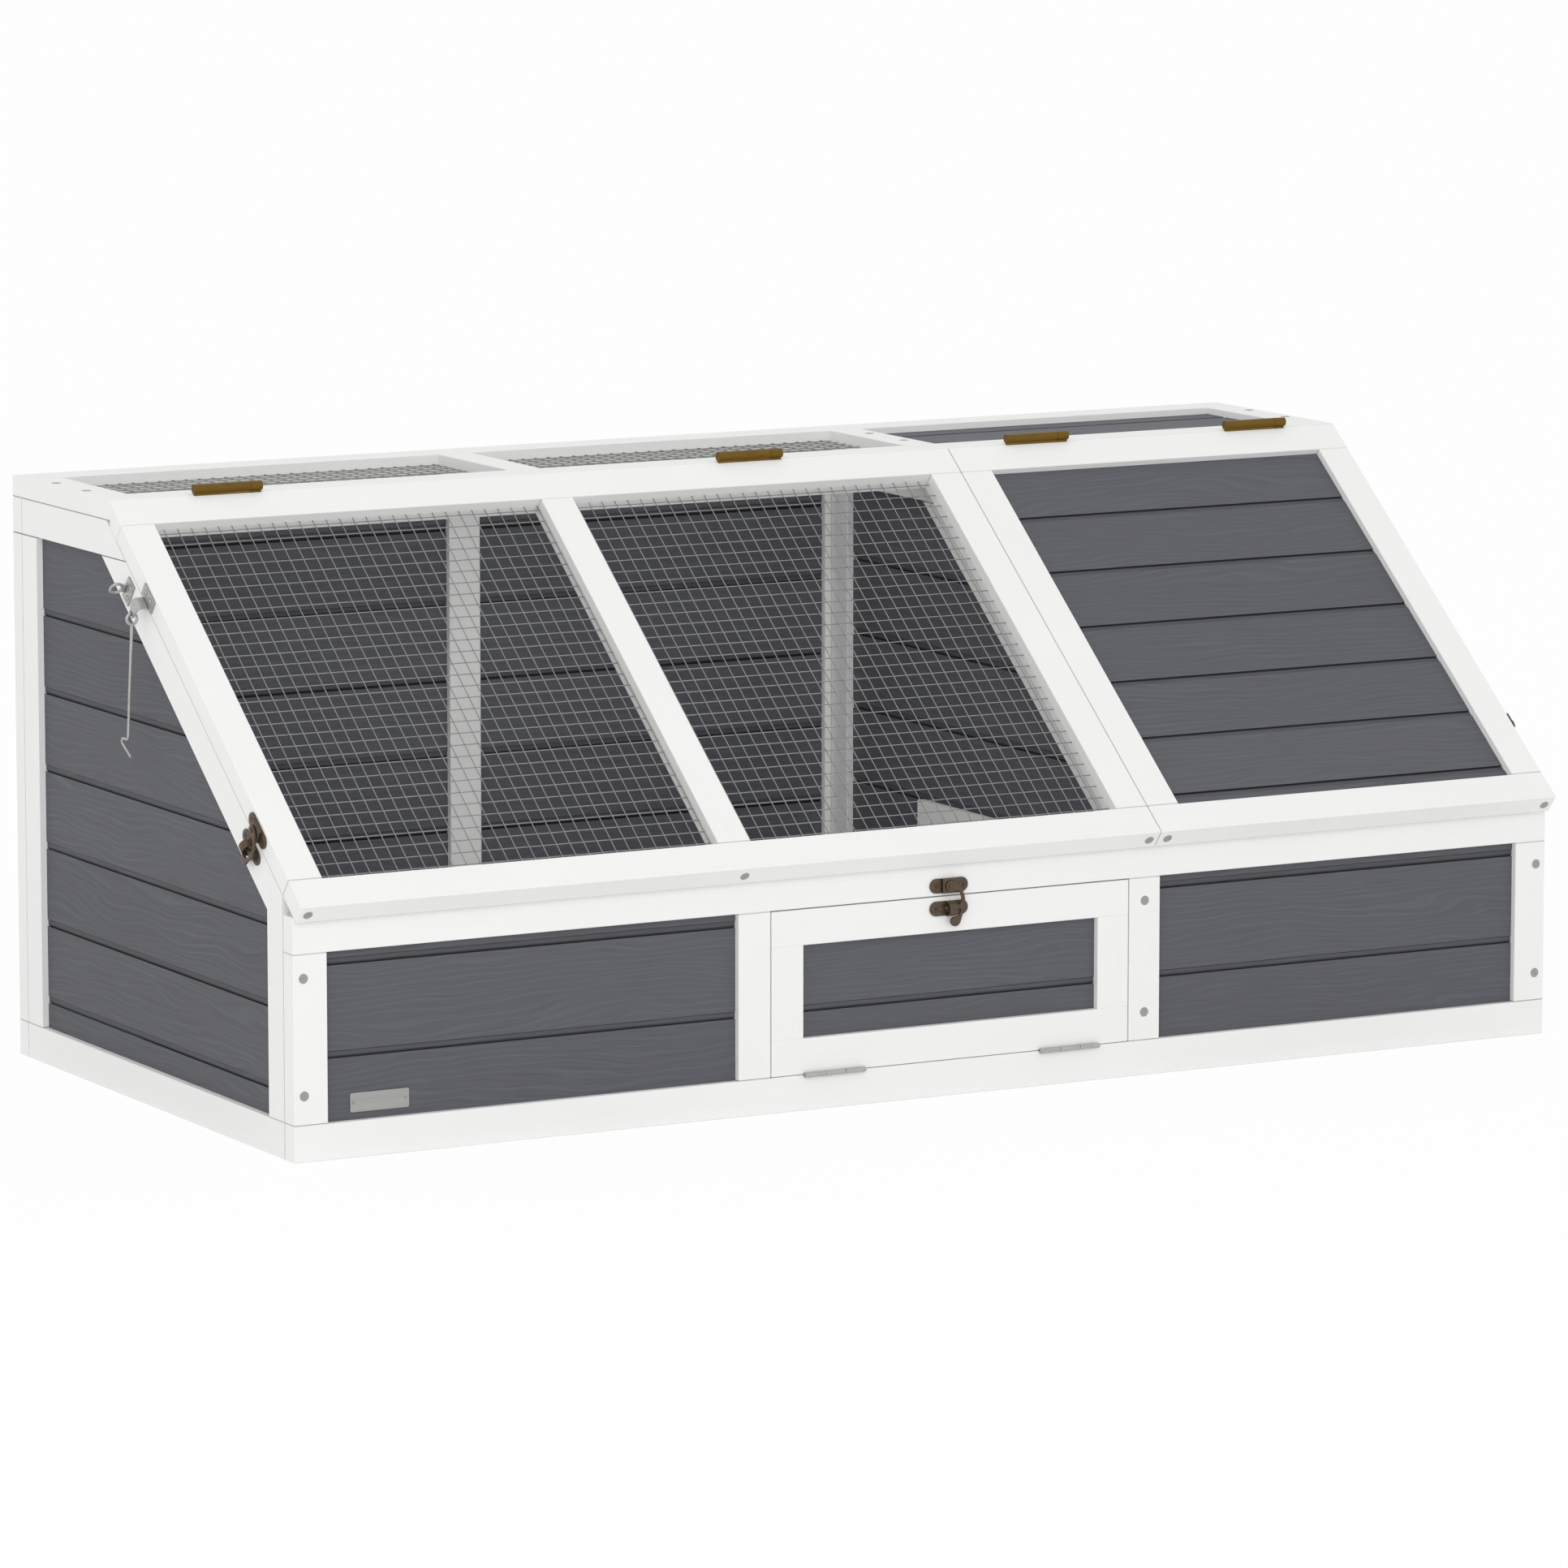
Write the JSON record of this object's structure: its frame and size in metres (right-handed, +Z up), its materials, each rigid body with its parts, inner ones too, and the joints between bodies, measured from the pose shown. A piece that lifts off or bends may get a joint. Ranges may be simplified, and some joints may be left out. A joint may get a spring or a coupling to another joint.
{
  "type": "tortoise enclosure",
  "caption": "Low wooden tortoise enclosure: boarded walls in a pale frame, sloping mesh lid and boarded lid, inner wall with doorway, drop-down front door, hook latches and lid stays.",
  "frame": {"origin": "middle of the underside, on the ground", "axes": "+X to the right seen from the front, +Y from the front door to the back wall, +Z up"},
  "size_m": [1.235, 0.5644, 0.5081],
  "materials": {
    "white_paint": "white satin paint",
    "grey_paint": "dark grey stain with visible grain",
    "mesh_wire": "galvanised",
    "brass_hinge": "antique brass",
    "bronze_latch": "dark bronze",
    "zinc_stay": "zinc plated",
    "screw_steel": "zinc plated",
    "bare_plate": "plain satin"
  },
  "bodies": {
    "case": {"front_base_rail": "white_paint", "front_top_rail": "white_paint", "front_posts": "white_paint", "front_jambs": "white_paint", "front_boards": "grey_paint", "back_base_rail": "white_paint", "back_top_rail": "white_paint", "back_stiles": "white_paint", "back_boards": "grey_paint", "left_side_rails": "white_paint", "left_side_stiles": "white_paint", "left_side_boards": "grey_paint", "right_side_rails": "white_paint", "right_side_stiles": "white_paint", "right_side_boards": "grey_paint", "divider_rails": "white_paint", "divider_stiles": "white_paint", "divider_boards": "grey_paint", "slope_rails": "white_paint", "doorway_frame": "white_paint", "top_long_rails": "white_paint", "top_end_rails": "white_paint", "top_cross_rails": "white_paint", "top_meshes": "mesh_wire", "top_boards": "grey_paint", "case_screws": "screw_steel", "lid_hinge_fixed_leaves": "brass_hinge", "lid_hinge_pins": "brass_hinge", "door_hinge_fixed_leaves": "zinc_stay", "door_hinge_pins": "zinc_stay", "door_latch_base": "bronze_latch", "lid_latch_catches": "bronze_latch", "stay_eyes": "zinc_stay", "blank_plate": "bare_plate"},
    "left_lid": {"left_lid_rails": "white_paint", "left_lid_stiles": "white_paint", "left_lid_meshes": "mesh_wire", "left_lid_hinge_leaves": "brass_hinge", "left_lid_screws": "screw_steel", "left_latch_base": "bronze_latch", "left_stay_bracket": "zinc_stay"},
    "right_lid": {"right_lid_rails": "white_paint", "right_lid_stiles": "white_paint", "right_lid_boards": "grey_paint", "right_lid_hinge_leaves": "brass_hinge", "right_lid_screws": "screw_steel", "right_latch_base": "bronze_latch", "right_stay_bracket": "zinc_stay"},
    "door": {"door_rails": "white_paint", "door_stiles": "white_paint", "door_boards": "grey_paint", "door_hinge_leaves": "zinc_stay", "door_latch_catch": "bronze_latch", "door_screws": "screw_steel"},
    "door_hook": {"door_latch_hook": "bronze_latch"},
    "left_hook": {"left_latch_hook": "bronze_latch"},
    "right_hook": {"right_latch_hook": "bronze_latch"},
    "left_rod": {"left_stay_rod": "zinc_stay"},
    "right_rod": {"right_stay_rod": "zinc_stay"}
  },
  "joints": [
    {"name": "left_lid_hinge", "type": "hinge", "parent": "case", "child": "left_lid", "pos_m": [-0.2, 0.08174, 0.5042], "axis": [-1, 0, 0], "range_deg": [0, 215]},
    {"name": "right_lid_hinge", "type": "hinge", "parent": "case", "child": "right_lid", "pos_m": [0.4, 0.08174, 0.5042], "axis": [-1, 0, 0], "range_deg": [0, 215]},
    {"name": "door_hinge", "type": "hinge", "parent": "case", "child": "door", "pos_m": [0.007, -0.26845, 0.0303], "axis": [1, 0, 0], "range_deg": [0, 98]},
    {"name": "door_hook_pivot", "type": "hinge", "parent": "case", "child": "door_hook", "pos_m": [0.0029, -0.27155, 0.1785], "axis": [0, -1, 0], "range_deg": [0, 95]},
    {"name": "left_hook_pivot", "type": "hinge", "parent": "left_lid", "child": "left_hook", "pos_m": [-0.6056, -0.20271, 0.26246], "axis": [-1, 0, 0], "range_deg": [0, 95]},
    {"name": "right_hook_pivot", "type": "hinge", "parent": "right_lid", "child": "right_hook", "pos_m": [0.6056, -0.20271, 0.26246], "axis": [1, 0, 0], "range_deg": [0, 95]},
    {"name": "left_stay_swing", "type": "hinge", "parent": "left_lid", "child": "left_rod", "pos_m": [-0.6109, 0.01415, 0.41341], "axis": [1, 0, 0], "range_deg": [-60, 100]},
    {"name": "right_stay_swing", "type": "hinge", "parent": "right_lid", "child": "right_rod", "pos_m": [0.6109, 0.01415, 0.41341], "axis": [1, 0, 0], "range_deg": [-60, 100]}
  ]
}
